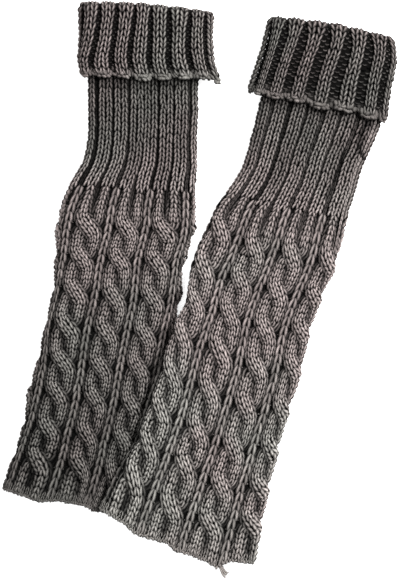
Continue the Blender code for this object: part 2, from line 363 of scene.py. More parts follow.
class Warmer:
    """One leg warmer: its cuff and tube, and where a stitch on either lies in the CAD frame."""

    def __init__(self, side, cuff_rows, tube_rows, lap, crossings, gutters, hem_line):
        self.side = side
        self.cuff = sections(cuff_rows)
        lip = self.cuff.read(FOLD_LIP)
        lip[2] -= 2 * CUFF_LIFT
        self.tube = sections([lip] + [list(row) for row in tube_rows])
        self.lap = lap
        self.crossings = np.array([[self.find(pixel) for pixel in cable] for cable in crossings])
        hem = np.array([self.find(pixel) for pixel in hem_line])
        self.hem_shares, self.hem_drops = hem[:, 0], hem[:, 1] - self.tube.length
        seen = np.array([[self.find(pixel, True) for pixel in gutter] for gutter in gutters])
        self.gutter_downs = seen[:, :, 1].mean(0)
        shares = seen[:, :, 0].T
        hidden = CUFF_RIBS - len(gutters) + 1
        steps = np.arange(1, hidden + 1) / hidden
        round_back = shares[:, -1:] + (shares[:, :1] + 1.0 - shares[:, -1:]) * steps
        self.gutters = np.hstack([shares, round_back])

    def down_leg(self, ends, row):
        """A value at a row of the leg's knitting, from its value at the leg's top and bottom."""
        top, bottom = ends[self.side]
        return top + (bottom - top) * ease(row / LAST_ROW)

    def depth(self, along):
        """Whole thickness of the tube: rib knit, then the thicker cable knit."""
        return RIB_DEPTH + (LEG_DEPTH - RIB_DEPTH) * ease((along - RIB_END) / KNIT_CHANGE + 0.5)

    def base(self, along):
        """Height of the tube's underside, which comes down past the cuff."""
        return CUFF_LIFT * (1.0 - ease((along + FOLD_LIP - self.cuff.length - CUFF_CLEAR) / SETTLE))

    def girth(self, along):
        """Distance once round the tube."""
        return stadium_length(self.tube.read(along)[..., 2], self.depth(along))

    def find(self, pixel, on_cuff=False):
        """Share and distance along of a pixel on the front of the tube or the cuff."""
        x, y = frame_point(pixel)
        curve = self.cuff if on_cuff else self.tube
        steps = np.arange(0.0, curve.length + SEARCH_BEYOND, SEARCH_STEP)
        section = curve.read(steps)
        turn = np.radians(section[:, 3])
        off_x, off_y = x - section[:, 0], y - section[:, 1]
        across = off_x * np.cos(turn) + off_y * np.sin(turn)
        down = off_x * np.sin(turn) - off_y * np.cos(turn)
        width = section[:, 2]
        miss = down - section[:, 4] * (1.0 - np.minimum(1.0, (2 * across / width)**2))
        best = int(np.argmin(np.where(np.abs(across) < width, np.abs(miss), np.inf)))
        along = steps[best] + miss[best]
        depth = CUFF_DEPTH if on_cuff else self.depth(along)
        flat = width[best] - depth
        radius = depth / 2
        beyond = np.clip((abs(across[best]) - flat / 2) / radius, 0.0, 1.0)
        travel = min(abs(across[best]), flat / 2) + radius * math.asin(beyond)
        length = stadium_length(width[best], depth)
        return FRONT_MIDDLE + math.copysign(travel, across[best]) / length, along

    def on_tube(self, share, along, height):
        """CAD place, in millimetres, of a point on or under the tube's outer face."""
        near_end = ease((along - self.tube.length) / HEM_LINE_REACH + 1.0)
        turn = share % 1.0
        front = np.where(turn > 0.5, 1.0 - turn, turn)
        along = along + near_end * np.interp(front, self.hem_shares, self.hem_drops)
        section = self.tube.read(along)
        depth = self.depth(along)
        across, up, facing = stadium_point(section[..., 2], depth, share, height)
        up = up + LOFT * np.clip(facing, 0.0, 1.0)
        across = across * (1.0 + 2 * EDGE_LOFT * (1.0 - np.abs(facing)) / section[..., 2])
        if self.lap is not None:
            beside = np.exp(-((section[..., 1] - SWELL_Y) / SWELL_REACH)**2)
            inner = ease((-2 * across / section[..., 2] - 0.5) / 0.5)
            across = across - SWELL * beside * inner
        x, y = row_point(section, across)
        z = depth / 2 + up + self.base(along)
        if self.lap is not None:
            z = z + self.lap.lift(x, y)
        return np.stack([x, y, np.maximum(z, LOWEST)], -1)

    def on_cuff(self, share, down, height):
        """CAD place of a point on the cuff, down its flap or, below ROLL, round its fold."""
        angle = np.clip((ROLL - down) / ROLL, 0.0, math.pi)
        over = np.clip(ROLL - math.pi * ROLL - down, 0.0, None)
        along = np.where(angle > 0, ROLL - (ROLL + height) * np.sin(angle) + over, down)
        sunk = np.where(angle > 0, ROLL - (ROLL + height) * np.cos(angle), -height)
        section = self.cuff.read(along)
        across, up, facing = stadium_point(section[..., 2], CUFF_DEPTH, share, -sunk)
        up = up + LOFT * np.clip(facing, 0.0, 1.0) * (1 - ease(angle / math.pi))
        x, y = row_point(section, across)
        return np.stack([x, y, np.maximum(CUFF_DEPTH / 2 + up, LOWEST)], -1)


# Beads of yarn

SIDES = 5

# Painted shade on a bead: darker by its arch, and from its top, fully lit, to its sides
ARCH_SHADE = 0.5
FULL_TOP = 0.84
TOP_POWER = 0.85
CELL_MARGIN = 0.06

# A stitch's yarn in mm: the arch of its back over its ends, half its height, half its width
Size = namedtuple("Size", "arch half_height half_width")


class Bead:
    """Closed bead swept along a line of (across, along, up, size), with a point at each end.

    The line is in shares of a stitch: across in its widths, along in rows, up in its
    thickness. shape holds across, along, up, side and top of each point, where side and
    top are the point's place on its ring.
    """

    def __init__(self, line):
        angles = np.radians(90.0 + 360.0 / SIDES * np.arange(SIDES))
        rows = []
        for across, along, up, size in line[1:-1]:
            for angle in angles:
                rows.append((across, along, up, size * math.cos(angle), size * math.sin(angle)))
        tips = [(*line[end][:3], 0.0, 0.0) for end in (0, -1)]
        self.set_points(np.array(rows + tips))
        rings = len(line) - 2
        faces, places = [], []
        for ring in range(rings - 1):
            for side in range(SIDES):
                a, b = ring * SIDES + side, ring * SIDES + (side + 1) % SIDES
                low, high = (ring + 1) / (rings + 1), (ring + 2) / (rings + 1)
                left, right = side / SIDES, (side + 1) / SIDES
                faces += [(a, b, b + SIDES), (a, b + SIDES, a + SIDES)]
                places += [((left, low), (right, low), (right, high)),
                           ((left, low), (right, high), (left, high))]
        for tip, ring, edge in ((len(rows), 0, 0.0), (len(rows) + 1, rings - 1, 1.0)):
            near = (ring + 1) / (rings + 1)
            for side in range(SIDES):
                a, b = ring * SIDES + side, ring * SIDES + (side + 1) % SIDES
                left, right = side / SIDES, (side + 1) / SIDES
                middle = (left + right) / 2
                corners = [(a, (left, near)), (b, (right, near)), (tip, (middle, edge))]
                if edge == 0.0:
                    corners = [corners[1], corners[0], corners[2]]
                faces.append(tuple(corner[0] for corner in corners))
                places.append(tuple(corner[1] for corner in corners))
        self.faces = np.array(faces)
        self.places = np.array(places)

    def set_points(self, rows):
        """Takes one row of across, along, up, side and top for each point."""
        self.rows = rows
        self.shape = rows.T[:, None, :]

    def mirrored(self):
        """The same bead leaning the other way."""
        other = object.__new__(Bead)
        other.set_points(self.rows * np.array([-1, 1, 1, -1, 1]))
        other.faces = self.faces[:, ::-1]
        other.places = self.places[:, ::-1]
        return other

    def height(self, size, arch=1.0):
        """Height of its points in mm over the yarn's back, with its arch made flatter."""
        return self.shape[2] * size.arch * arch + (self.shape[4] - 1.0) * size.half_height


def both_legs(line):
    """The two legs of a knit stitch, which lean apart."""
    leg = Bead(line)
    return leg, leg.mirrored()


LEGS = both_legs([
    (0.06, -0.42, -1.05, 0.0),
    (0.13, -0.12, -0.42, 0.84),
    (0.215, 0.28, 0.0, 1.0),
    (0.28, 0.70, 0.0, 1.0),
    (0.285, 1.10, -0.36, 0.88),
    (0.25, 1.42, -1.0, 0.0),
])
CABLE_LEGS = both_legs([
    (0.06, -0.38, -1.1, 0.0),
    (0.12, -0.07, -0.52, 0.84),
    (0.22, 0.27, 0.0, 1.0),
    (0.295, 0.66, 0.0, 1.0),
    (0.29, 1.01, -0.52, 0.9),
    (0.24, 1.34, -1.1, 0.0),
])
SLIP_LEGS = both_legs([
    (0.06, -0.30, -1.0, 0.0),
    (0.13, -0.06, -0.38, 0.84),
    (0.23, 0.28, 0.0, 1.0),
    (0.285, 0.68, 0.0, 1.0),
    (0.285, 1.05, -0.42, 0.9),
    (0.24, 1.30, -1.0, 0.0),
])
SUNK_LEGS = both_legs([
    (0.06, -0.38, -1.05, 0.0),
    (0.17, 0.05, -0.20, 0.9),
    (0.26, 0.55, 0.0, 1.0),
    (0.285, 1.0, -0.30, 0.9),
    (0.25, 1.38, -1.0, 0.0),
])
CUFF_LEGS = both_legs([
    (0.04, -0.42, -1.15, 0.0),
    (0.12, -0.12, -0.50, 0.84),
    (0.22, 0.26, 0.0, 1.0),
    (0.30, 0.64, 0.0, 1.0),
    (0.32, 0.98, -0.50, 0.88),
    (0.28, 1.28, -1.15, 0.0),
])
KNOT = Bead([
    (0.0, -0.5, -0.9, 0.0),
    (0.0, -0.32, -0.2, 0.86),
    (0.0, 0.0, 0.0, 1.0),
    (0.0, 0.32, -0.2, 0.86),
    (0.0, 0.5, -0.9, 0.0),
])
BUMP = Bead([
    (-0.62, 0.10, -0.9, 0.0),
    (-0.36, 0.0, -0.25, 0.85),
    (0.0, -0.10, 0.0, 1.0),
    (0.36, 0.0, -0.25, 0.85),
    (0.62, 0.10, -0.9, 0.0),
])

# The point on a leg's back, by which the whole leg's painted shade is read
LEG_BACK = 5


class Yarn:
    """The beads of one piece, gathered up and then made into one mesh."""

    def __init__(self):
        self.points, self.faces, self.places, self.tones, self.crest_shades = [], [], [], [], []
        self.count = 0

    def add(self, bead, points, tone, side_shade=1.0):
        """Adds one bead for each row of points; the last argument is how strongly painted shade darkens
        its sides.
        """
        many, each = points.shape[:2]
        start = self.count + np.arange(many) * each
        self.faces.append((bead.faces[None] + start[:, None, None]).reshape(-1, 3))
        self.places.append(np.repeat(bead.places[None], many, 0))
        self.points.append(points.reshape(-1, 3))
        self.tones.append(np.repeat(tone, each))
        # Painted shade of each point: 1 at the bead's top, falling down its sides and where its arch dips
        top = np.clip(bead.rows[:, 4] / FULL_TOP, 0.0, 1.0)**TOP_POWER
        lift = (1.0 + ARCH_SHADE * bead.rows[:, 2]) * top
        self.crest_shades.append(np.tile(1.0 - side_shade * (1.0 - np.clip(lift, 0.0, 1.0)), many))
        self.count += many * each

    def build(self, name):
        """One smooth mesh, each bead in its own cell of the bake's map."""
        beads = sum(len(places) for places in self.places)
        cells = math.ceil(math.sqrt(beads))
        number = 0
        maps = []
        for places in self.places:
            order = number + np.arange(len(places))
            corner = np.stack([order % cells, order // cells], -1)[:, None, None, :]
            inside = CELL_MARGIN + (1.0 - 2 * CELL_MARGIN) * places
            maps.append(((corner + inside) / cells).reshape(-1, 2))
            number += len(places)
        return make_mesh(name, np.vstack(self.points), np.vstack(self.faces), np.vstack(maps),
                         STITCH_WOOL, tone=np.concatenate(self.tones),
                         crest=np.concatenate(self.crest_shades))


def make_mesh(name, points, faces, places, material, **numbers):
    """Mesh object from millimetre points, faces of one kind and a UV place for each corner.

    numbers are lists of one number for each point, for the material to read.
    """
    each = faces.shape[1]
    data = bpy.data.meshes.new(name)
    data.vertices.add(len(points))
    data.vertices.foreach_set("co", (points * MM).astype(np.float32).ravel())
    data.loops.add(faces.size)
    data.loops.foreach_set("vertex_index", faces.astype(np.int32).ravel())
    data.polygons.add(len(faces))
    data.polygons.foreach_set("loop_start", np.arange(0, faces.size, each, dtype=np.int32))
    data.polygons.foreach_set("loop_total", np.full(len(faces), each, np.int32))
    data.update(calc_edges=True)
    layer = data.uv_layers.new(name="OFBake")
    layer.data.foreach_set("uv", places.astype(np.float32).ravel())
    data.polygons.foreach_set("use_smooth", np.ones(len(faces), bool))
    data.validate()
    for kind, values in numbers.items():
        layer = data.attributes.new(kind, "FLOAT", "POINT")
        layer.data.foreach_set("value", np.asarray(values, np.float32))
    data.materials.append(material)
    piece = bpy.data.objects.new(name, data)
    bpy.context.collection.objects.link(piece)
    return piece


# The wool: its tints, how they are spread, and the painted shade that darkens it where it dips

WARM = (0.366, 0.309, 0.297)
COOL = (0.323, 0.312, 0.289)
TINT_SPAN = (0.46, 0.70)
PATCHES = {"Scale": 14.0, "Detail": 2.0}

# Warmer by WARM_SHARE in a band across the ribs' ends and the tops of the legs, along Y
WARM_SPAN = {"From Min": -0.2, "From Max": 0.2}
WARM_BAND = [(0.0, 0.3), (0.25, 0.3), (0.45, 0.9), (0.7, 1.0), (0.84, 0.35), (1.0, 0.35)]
WARM_SHARE = 0.2
# Painted shade down each bead's sides: its power and the darkest it gets
CREST_POWER = 3.1
CREST_FLOOR = 0.02
FIBRES = {"Scale": 1500.0, "Detail": 3.0}
FLECK = 0.5
BUMP_OF_FIBRES = {"Strength": 0.5, "Distance": 0.0004}
MATT = {
    "Roughness": 0.95,
    "Specular IOR Level": 0.02,
    "Sheen Weight": 0.012,
    "Sheen Roughness": 0.6,
}


def set_inputs(node, values):
    """Sets a node's inputs by their names."""
    for name, value in values.items():
        node.inputs[name].default_value = value


def fill_ramp(node, stops):
    """Gives a colour ramp its stops, each a position and a colour."""
    elements = node.color_ramp.elements
    while len(elements) < len(stops):
        elements.new(0.5)
    for element, (position, colour) in zip(elements, stops):
        element.position = position
        element.color = (*colour, 1.0)


def wool(name, strength):
    """Matt heather yarn: two tints in patches, painted shade where it dips and in its tone, with fine
    fibres.
    """
    material = bpy.data.materials.new(name)
    material.use_nodes = True
    nodes, links = material.node_tree.nodes, material.node_tree.links
    shader = nodes["Principled BSDF"]
    set_inputs(shader, MATT)
    place = nodes.new("ShaderNodeTexCoord").outputs["Object"]

    def noise(values):
        node = nodes.new("ShaderNodeTexNoise")
        set_inputs(node, values)
        links.new(place, node.inputs["Vector"])
        return node.outputs["Fac"]

    def number(attribute):
        node = nodes.new("ShaderNodeAttribute")
        node.attribute_name = attribute
        return node.outputs["Fac"]

    def maths(operation, first, second):
        node = nodes.new("ShaderNodeMath")
        node.operation = operation
        for socket, value in zip(node.inputs, (first, second)):
            if isinstance(value, float):
                socket.default_value = value
            else:
                links.new(value, socket)
        return node.outputs[0]

    split = nodes.new("ShaderNodeSeparateXYZ")
    links.new(place, split.inputs[0])
    reach = nodes.new("ShaderNodeMapRange")
    set_inputs(reach, WARM_SPAN)
    links.new(split.outputs["Y"], reach.inputs["Value"])
    band = nodes.new("ShaderNodeValToRGB")
    fill_ramp(band, [(position, (value, value, value)) for position, value in WARM_BAND])
    links.new(reach.outputs["Result"], band.inputs["Fac"])
    tint = nodes.new("ShaderNodeValToRGB")
    fill_ramp(tint, list(zip(TINT_SPAN, (COOL, WARM))))
    shift = maths("MULTIPLY", band.outputs["Color"], WARM_SHARE)
    links.new(maths("ADD", noise(PATCHES), shift), tint.inputs["Fac"])

    fibres = noise(FIBRES)
    # Painted shade from each bead's crest, times the tone, which holds painted light and shade
    peak = maths("POWER", number("crest"), CREST_POWER)
    sunk = maths("ADD", maths("MULTIPLY", peak, 1.0 - CREST_FLOOR), CREST_FLOOR)
    fleck = maths("ADD", maths("MULTIPLY", fibres, FLECK), 1.0 - FLECK / 2)
    bright = maths("MULTIPLY", maths("MULTIPLY", sunk, fleck), number("tone"))
    mix = nodes.new("ShaderNodeVectorMath")
    mix.operation = "SCALE"
    links.new(tint.outputs["Color"], mix.inputs[0])
    links.new(maths("MULTIPLY", bright, strength), mix.inputs["Scale"])
    links.new(mix.outputs[0], shader.inputs["Base Color"])

    bump = nodes.new("ShaderNodeBump")
    set_inputs(bump, BUMP_OF_FIBRES)
    links.new(fibres, bump.inputs["Height"])
    links.new(bump.outputs["Normal"], shader.inputs["Normal"])
    return material


STITCH_WOOL = wool("stitch_wool", 0.95)
# Near-black wool for the cloth under the stitches: painted shade in the gaps between them
SHADOW_DARK_CLOTH_WOOL = wool("shadow_dark_cloth_wool", 0.006)


# The knitting

class Unit:
    """Tables of the cables of one tube, one column a cable and one row a row of knitting."""

    def __init__(self, warmer):
        nodes = [0.0] + [ROWS_TO_FIRST + ROWS_PER_CROSSING * i for i in range(CROSSINGS)]
        nodes.append(float(LAST_ROW))
        seen = warmer.crossings
        hidden_places = warmer.tube.at[FIRST_CROSSED_SECTION:][:CROSSINGS]
        extra = CABLES - len(seen)
        shares, places = [], []
        for cable in range(CABLES):
            if cable < len(seen):
                share, place = seen[cable, :, 0], seen[cable, :, 1]
            else:
                step = (cable - len(seen) + 1) / (extra + 1)
                share = seen[-1, :, 0] + (seen[0, :, 0] + 1.0 - seen[-1, :, 0]) * step
                place = hidden_places
            shares.append(np.concatenate([[share[0]], share, [share[-1] * 2 - share[-2]]]))
            start = place[0] - ROWS_TO_FIRST * CABLE_PITCH
            places.append(np.concatenate([[start], place, [warmer.tube.length + HEM_OVERRUN]]))
        curve = Curve(nodes, np.vstack([shares, places]).T)
        self.rows = np.arange(-SPARE_ROWS, LAST_ROW + SPARE_ROWS)
        table = curve.read(self.rows.astype(float))
        self.share, self.along = table[:, :CABLES], table[:, CABLES:]
        self.girth = warmer.girth(self.along)
        following = np.concatenate([self.share[:, 1:], self.share[:, :1] + 1.0], 1)
        before = np.concatenate([self.share[:, -1:] - 1.0, self.share[:, :-1]], 1)
        self.slip_share = (self.share + following) / 2
        self.slip_along = (self.along + np.roll(self.along, -1, 1)) / 2
        room = SLIP_WIDTH / 2 + GUTTER_WIDTH
        self.left_half = np.minimum((self.share - before) / 2 * self.girth - room, WIDEST_HALF)
        self.right_half = np.minimum((following - self.share) / 2 * self.girth - room, WIDEST_HALF)
        self.wale = (self.left_half + self.right_half) / 6
        self.pace = np.gradient(self.along, axis=0)

    def look(self, table, cable, row):
        """A table read between rows."""
        place = np.clip(row + SPARE_ROWS, 0, len(self.rows) - 1.001)
        step = place.astype(int)
        part = place - step
        return table[step, cable] * (1 - part) + table[step + 1, cable] * part


# The ropes of a cable: how wide one gets, how quickly each strand swings over, how round it
# is, how high it lies, and how it dips behind the other one and in the hollows beside it
WIDEST_HALF = 16.0
FRONT_TURN = 0.74
BACK_TURN = 0.40
STRAND_ROUND = 0.085
CABLE_CREST = -0.5
FRONT_RISE = 2.0
BACK_DIP = 1.7
CROSSING_SWELL = 0.12
HOLLOW_DEPTH = 1.7
HOLLOW_PLACE = 0.24
HOLLOW_LENGTH = 0.14
LOW_LEVEL = -3.0
LOW_SQUEEZE = 0.3
CABLE_BASE = -4.4

# Painted shade: legs deep in a hollow are darker, by the depth of one point on a leg's back
SHADE_BY_DEPTH = 0.25
DARKEST = 0.10
# Painted shade on a rope's outermost legs, and how strongly painted shade darkens each cable leg's sides
EDGE_SHADE = 0.5
CABLE_SIDE_SHADE = 0.84

# Yarn of the cables, of the slip columns and of the purl bumps beside them; the half width
# of the first is in widths of a wale and of the last in rows
CABLE_SIZE = Size(1.5, 0.85, 0.24)
SLIP_SIZE = Size(1.6, 1.1, 1.5)
SLIP_LEVEL = -1.7
SLIP_SPREAD = 6.7
SLIP_TONE = 0.68
GUTTER_SIZE = Size(0.9, 0.6, 0.22)
GUTTER_LEVEL = -3.5
GUTTER_REACH = 2.6

# A cable fans out over its first rows: its wales start closer together, its stitches wider,
# its yarn thicker, and its outer wales lower, with painted shade on its first rows, most on the outer
# wales
FAN_ROWS = 8.0
FAN_START = 3.5
FAN_CLOSER = 0.6
FAN_WIDER = 0.7
FAN_THICKER = 0.09
FAN_RISE = 0.5
FAN_DROP = 1.8
FRESH_ROWS = 7.0
FRESH_SHADE = 0.18
FRESH_EDGE_SHADE = 0.5


def strand(unit, cable, which, row, lateral, height):
    """Place on a cable strand: share round, distance along, height over the CAD face, and painted shade.
    """
    wale = unit.look(unit.wale, cable, row)
    pace = unit.look(unit.pace, cable, row)
    phase = (row - ROWS_TO_FIRST) / ROWS_PER_CROSSING
    number = np.clip(np.round(phase), 0, CROSSINGS - 1)
    off = phase - number
    front = np.where((number + which) % 2 == 0, 1.0, -1.0)
    turn = np.where(front > 0, FRONT_TURN, BACK_TURN)
    share = np.clip(off / turn + 0.5, 0.0, 1.0)
    swing = ease(share) * 2 - 1
    slope = 6 * share * (1 - share) * 2 / (turn * ROWS_PER_CROSSING)
    reach = 1.5 * wale
    centre = front * swing * reach
    lean = front * slope * reach / pace
    stretch = np.sqrt(1 + lean**2)
    crossing = np.cos(np.pi * np.clip(off / 0.9, -0.5, 0.5))**2
    lateral = lateral * (1 + CROSSING_SWELL * crossing)
    across = centre + lateral / stretch
    step = row - lateral * lean / stretch / pace
    level = CABLE_CREST + crossing * np.where(front > 0, FRONT_RISE, -BACK_DIP)
    inner = np.clip(-lateral * np.sign(centre) / reach, 0.0, 1.2)
    beside = np.exp(-((np.abs(off) - HOLLOW_PLACE) / HOLLOW_LENGTH)**2)
    level = level - HOLLOW_DEPTH * np.where(front > 0, 0.0, inner * beside)
    level = level - STRAND_ROUND * lateral**2 + height
    shade = np.clip(1.0 + SHADE_BY_DEPTH * (level - CABLE_CREST), DARKEST, 1.0)
    shade = shade * (1.0 - EDGE_SHADE * np.clip(np.abs(lateral) / reach, 0.0, 1.0)**6)
    level = np.where(level < LOW_LEVEL, LOW_LEVEL + (level - LOW_LEVEL) * LOW_SQUEEZE, level)
    girth = unit.look(unit.girth, cable, step)
    half = np.where(across > 0, unit.look(unit.right_half, cable, step),
                    unit.look(unit.left_half, cable, step))
    across = across * half / (3 * wale)
    return (unit.look(unit.share, cable, step) + across / girth,
            unit.look(unit.along, cable, step), level, shade)


def spread(*values):
    """Every combination of the given choices, one flat array each."""
    return [grid.ravel() for grid in np.meshgrid(*values, indexing="ij")]


def jitter(many, amount):
    """Small random numbers, one a bead."""
    return DRAW.normal(0.0, amount, many)[:, None]


def jitters(many, *amounts):
    """Several lists of small random numbers."""
    return [jitter(many, amount) for amount in amounts]


def tones(many, middle=1.0, spread_by=0.07):
    """Brightness of each bead."""
    return middle * (1.0 + DRAW.normal(0.0, spread_by, many))


def cable_stitches(warmer, unit, yarn, cables):
    """Six wales of each cable, in two strands that cross."""
    rows = np.arange(FIRST_CABLE_ROW, LAST_ROW - 1)
    cable, which, wale, row = spread(cables, [0, 1], [-1, 0, 1], rows)
    many = len(cable)
    shift, lag, rise = jitters(many, 0.05, 0.08, 0.16)
    cable, which, wale, row = (v[:, None] for v in (cable, which, wale, row))
    fresh = 1.0 - ease((row[:, 0] - FIRST_CABLE_ROW) / FRESH_ROWS)
    fan_shade = (1.0 - FRESH_EDGE_SHADE * np.abs(wale[:, 0]) * fresh) * (1.0 - FRESH_SHADE * fresh)
    for leg in CABLE_LEGS:
        across, along, _, side, _ = leg.shape
        at = row + along + lag
        width = unit.look(unit.wale, cable, at)
        closed = 1.0 - ease((at + FAN_START) / FAN_ROWS)
        lateral = wale * (1.0 - FAN_CLOSER * closed) + (across + shift) * (1.0 + FAN_WIDER * closed)
        lateral = (lateral + side * (CABLE_SIZE.half_width + FAN_THICKER * closed)) * width
        height = leg.height(CABLE_SIZE) + rise + (FAN_RISE - FAN_DROP * np.abs(wale)) * closed
        share, place, level, shade = strand(unit, cable, which, at, lateral, height)
        # Painted light and shade: the leg's tone and light down its rows, and the strand's painted shade
        tone = tones(many, 1.0, 0.12) * fan_shade * warmer.down_leg(LEG_TONE_AND_LIGHT, row[:, 0])
        tone = tone * shade[:, LEG_BACK]**warmer.down_leg(LEG_SHADE, row[:, 0])
        yarn.add(leg, warmer.on_tube(share, place, level), tone, CABLE_SIDE_SHADE)


def slip_stitches(warmer, unit, yarn, cables):
    """The column of long stitches between cables, each two rows high."""
    cable, row = spread(cables, np.arange(FIRST_CABLE_ROW, LAST_ROW - 2, 2))
    many = len(cable)
    shift, lag, rise = jitters(many, 0.03, 0.08, 0.12)
    cable, row = cable[:, None], row[:, None]
    for leg in SLIP_LEGS:
        across, along, _, side, _ = leg.shape
        at = row + 2 * along + lag
        lateral = (across + shift) * SLIP_SPREAD + side * SLIP_SIZE.half_width
        share = unit.look(unit.slip_share, cable, at) + lateral / unit.look(unit.girth, cable, at)
        points = warmer.on_tube(share, unit.look(unit.slip_along, cable, at),
                                SLIP_LEVEL + leg.height(SLIP_SIZE) + rise)
        tone = tones(many, SLIP_TONE, 0.18) * warmer.down_leg(LEG_TONE_AND_LIGHT, row[:, 0])
        yarn.add(leg, points, tone, CABLE_SIDE_SHADE)


def gutter_bumps(warmer, unit, yarn, cables):
    """Purl bumps in the gutters on both sides of a slip column, darkened with painted shade."""
    cable, side_of, row = spread(cables, [-1, 1], np.arange(-1, LAST_ROW - 1, 2))
    many = len(cable)
    lag, rise = jitters(many, 0.08, 0.15)
    cable, side_of, row = cable[:, None], side_of[:, None], row[:, None]
    across, along, _, side, _ = BUMP.shape
    at = row + along + lag + side * GUTTER_SIZE.half_width
    lateral = side_of * (SLIP_WIDTH + GUTTER_WIDTH) / 2 + across * GUTTER_REACH
    share = unit.look(unit.slip_share, cable, at) + lateral / unit.look(unit.girth, cable, at)
    tone = warmer.down_leg(GUTTER_SHADE, row[:, 0])
    level = GUTTER_LEVEL + 0.9 * tone[:, None] + BUMP.height(GUTTER_SIZE) + rise
    yarn.add(BUMP, warmer.on_tube(share, unit.look(unit.slip_along, cable, at), level),
             tones(many, 1.0, 0.3) * tone)


# The upper rib: its knit columns and the purl ones sunk between them, each column's tone
# between two limits; the purl columns' tone is painted shade
PAIR_PLACES = (0.26, 0.74)
RIB_WALE = 5.5
RIB_SIZE = Size(1.5, 0.85, 1.15)
RIB_LEVEL = -0.1
RIB_TONE = {"left": (0.38, 0.64), "right": (0.45, 0.59)}
SUNK_WALE = 2.7
SUNK_SIZE = Size(1.2, 0.7, 0.95)
SUNK_LEVEL = -2.6
SUNK_SHADE = {"left": (0.03, 0.26), "right": (0.04, 0.22)}

# The knit columns are paler by JOIN_TONE where they meet the cables; the purl ones run on
# for SUNK_RUN_ON rows and fade there, sinking and darker by painted shade
JOIN_TONE = 0.5
JOIN_ROWS = 12.0
SUNK_RUN_ON = 6

# The last purl column seen at the right-hand fold: its tone, paler than the other purl columns' painted
# shade, and how far out it lies in mm
PALE_FOLD = {"left": (0.15, 0.0), "right": (0.95, 0.4)}
LAST_SEEN_SHARE = 0.49

# Creases of the upper ribs, in pixels of the photograph, each with its width in mm and the strength of
# its painted shade
CREASES = {"left": [], "right": [
    ([(366.5, 122.0), (361.5, 134.0), (359.0, 144.0), (360.5, 152.0), (364.5, 158.0)], 2.4, 0.95),
    ([(343.0, 152.0), (339.5, 166.0), (333.0, 182.0), (326.0, 197.0)], 2.0, 0.8),
]}
CREASE_STEPS = 40
CREASE_DEPTH = 1.2
CREASE_LOWEST = 4.0

# Painted shadow on the wool under the flap: how dark it is at the flap's edge, and how soon it is fully
# lit
UNDER_FLAP_SHADOW = 0.3
UNDER_FLAP_START = 2.0
UNDER_FLAP_REACH = 17.0


def rib_pairs(unit):
    """Share and end of the upper rib's pairs of knit columns: two pairs above each cable."""
    start = FIRST_CABLE_ROW + SPARE_ROWS
    slips = unit.slip_share[start]
    before = np.roll(slips, 1)
    before[0] -= 1.0
    shares = before[:, None] + (slips - before)[:, None] * np.array(PAIR_PLACES)
    return shares.ravel(), np.repeat(unit.along[start], len(PAIR_PLACES))


def cuff_shadow(warmer, along):
    """Painted shadow: darker wool close under the cuff's flap."""
    past_edge = along - warmer.cuff.length + FOLD_LIP + UNDER_FLAP_START
    return UNDER_FLAP_SHADOW + (1.0 - UNDER_FLAP_SHADOW) * ease(past_edge / UNDER_FLAP_REACH)


def crease_shade(warmer, points):
    """How strongly painted shade in a crease darkens each stitch of the side that is seen, from 0 to 1;
    it also sets how far it sinks.
    """
    middle = points[:, LEG_BACK]
    deepest = np.zeros(len(middle))
    for pixels, width, shade in CREASES[warmer.side]:
        places = np.array([frame_point(pixel) for pixel in pixels])
        line = Curve(np.linspace(0.0, 1.0, len(places)), places).read(np.linspace(0.0, 1.0, CREASE_STEPS))
        away = np.hypot(*(middle[:, None, :2] - line[None]).transpose(2, 0, 1)).min(1)
        deepest = np.maximum(deepest, shade * np.exp(-(away / width) ** 2))
    return deepest * (middle[:, 2] > CREASE_LOWEST)


def column_wave(column, along):
    """Slow change of brightness down each column of the upper rib."""
    return 1.0 + 0.14 * np.sin(along / 17.0 + 2.4 * column)


def add_rib_legs(warmer, yarn, leg, share, at, level, tone):
    """Legs of the upper rib's stitches, with painted shadow under the flap and painted shade in the
    creases.
    """
    points = warmer.on_tube(share, at, level)
    crease = crease_shade(warmer, points)
    points[:, :, 2] -= CREASE_DEPTH * crease[:, None]
    yarn.add(leg, points, tone * cuff_shadow(warmer, at[:, LEG_BACK]) * (1.0 - crease))


def knit_columns(warmer, yarn, shares, places, rows):
    """Knit columns of the upper rib, in pairs of wales that end where the cables begin."""
    column, wale, row = spread(np.arange(len(shares)), [-0.5, 0.5], np.arange(-rows, 0))
    many = len(column)
    shift, lag, rise = jitters(many, 0.04, 0.08, 0.16)
    share, place, row = shares[column][:, None], places[column][:, None], row[:, None]
    wale = wale[:, None]
    rib_tone = DRAW.uniform(*RIB_TONE[warmer.side], len(shares))
    joining = 1.0 + JOIN_TONE * ease((row[:, 0] + JOIN_ROWS) / JOIN_ROWS)
    for leg in LEGS:
        across, along, _, side, _ = leg.shape
        at = place + (row + along + lag) * RIB_PITCH
        lateral = (wale + across + shift) * RIB_WALE + side * RIB_SIZE.half_width
        level = RIB_LEVEL + leg.height(RIB_SIZE) + rise
        tone = tones(many, 1.0, 0.12) * rib_tone[column] * column_wave(column, at[:, LEG_BACK])
        spot = share + lateral / warmer.girth(at)
        add_rib_legs(warmer, yarn, leg, spot, at, level, tone * joining)


